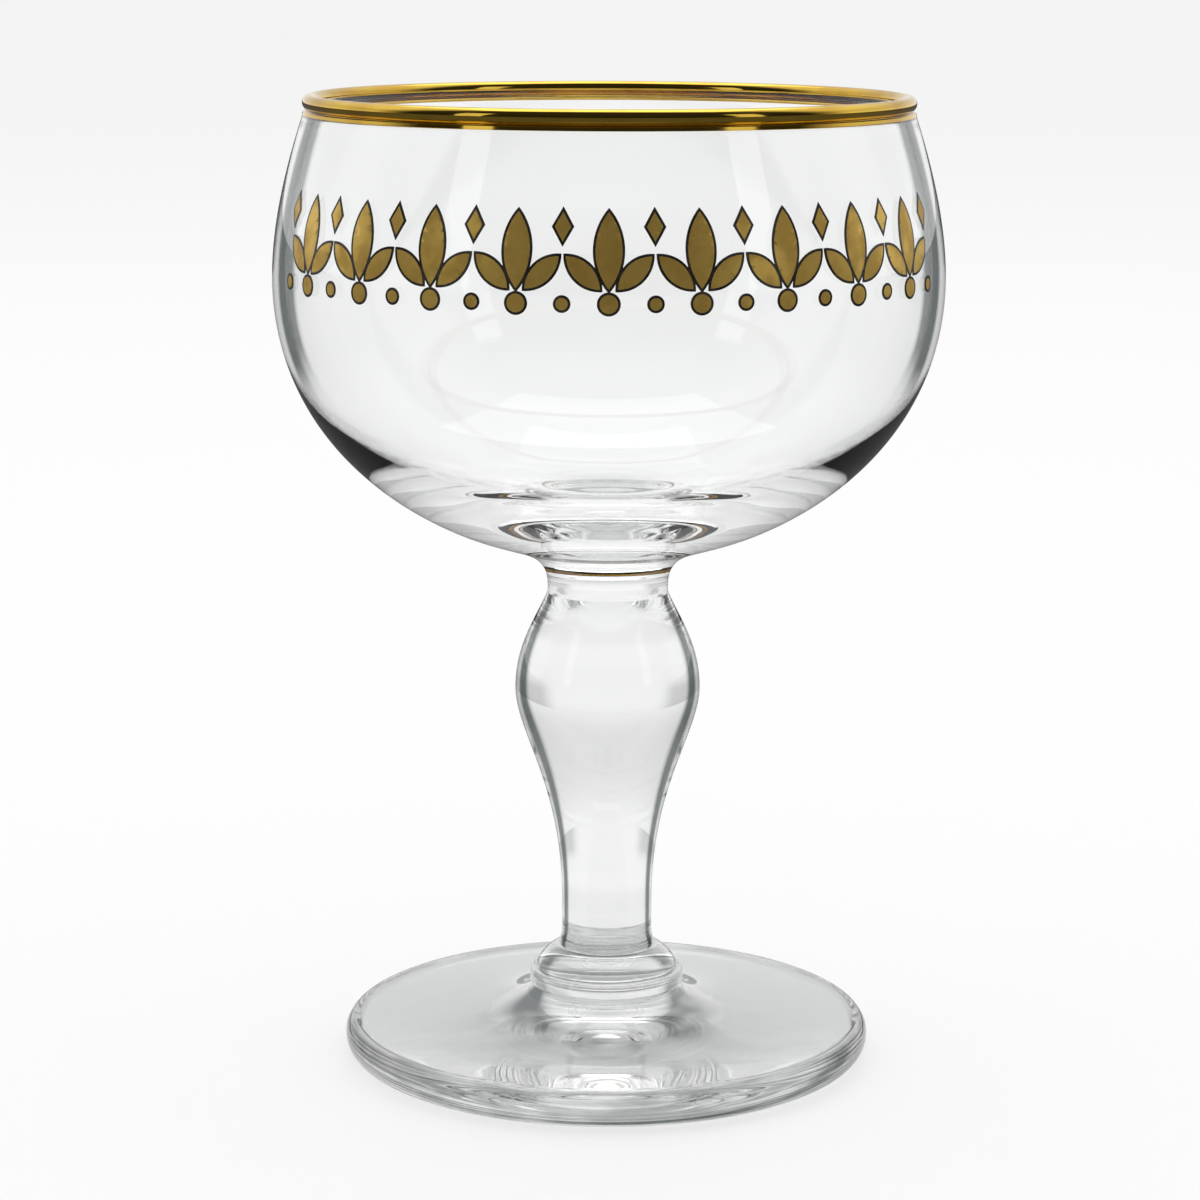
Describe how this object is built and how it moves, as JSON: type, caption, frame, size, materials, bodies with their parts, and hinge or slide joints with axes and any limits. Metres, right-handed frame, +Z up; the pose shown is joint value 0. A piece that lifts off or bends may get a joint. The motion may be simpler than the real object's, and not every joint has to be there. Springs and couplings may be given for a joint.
{
  "type": "chalice beer glass",
  "caption": "Wide round bowl with a gilded lip and a fired leaf frieze, on a baluster stem with a ringed collar and a swept round foot.",
  "frame": {"origin": "the middle of the foot's underside, in the plane that the glass stands on", "axes": "+Z up along the glass's axis; the leaf frieze faces -Y; +X is to the right of someone who looks at the frieze"},
  "size_m": [0.1064, 0.1065, 0.156],
  "materials": {
    "clear_glass": "fire-polished clear soda-lime glass",
    "bright_gilding": "burnished fired gold, mirror bright",
    "satin_gold_print": "fired gold print, satin",
    "black_enamel": "fired black enamel, glossy"
  },
  "bodies": {
    "root": {"foot": "clear_glass", "collar": "clear_glass", "stem": "clear_glass", "bowl": "clear_glass", "rim_gilding": "bright_gilding", "frieze_gold": "satin_gold_print", "frieze_lines": "black_enamel"}
  },
  "joints": []
}
